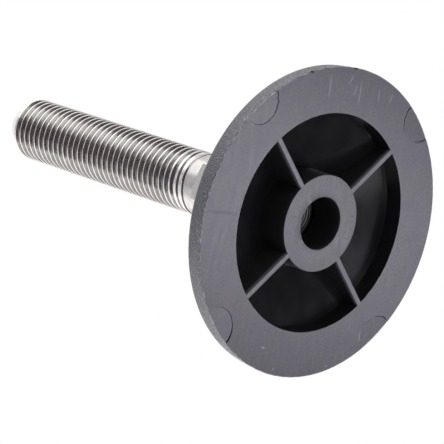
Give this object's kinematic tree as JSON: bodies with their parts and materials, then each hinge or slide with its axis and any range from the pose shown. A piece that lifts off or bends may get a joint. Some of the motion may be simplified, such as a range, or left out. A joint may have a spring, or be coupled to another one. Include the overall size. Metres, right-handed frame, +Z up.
{
  "type": "adjustable levelling foot",
  "caption": "Levelling foot with a round ribbed plastic base and a threaded steel stud with a spanner hexagon, whose ball end tilts in the base.",
  "frame": {"origin": "centre of the sole, on the surface that the foot stands on", "axes": "+Z up along the stud, the base's ribs at 45 degrees to X and Y"},
  "size_m": [0.075, 0.075, 0.1122],
  "materials": {
    "black_plastic": "moulded, satin sole and sides with a fine spark-eroded grain, glossier inside the hollow",
    "stainless_steel": "turned and thread-cut, bright"
  },
  "bodies": {
    "base": {"foot_base": "black_plastic"},
    "stud": {"ball_stud": "stainless_steel"}
  },
  "joints": [
    {"name": "stud_tilt", "type": "hinge", "parent": "base", "child": "stud", "pos_m": [0, 0, 0.0171], "axis": [0, 1, 0], "range_deg": [-10, 10]}
  ]
}
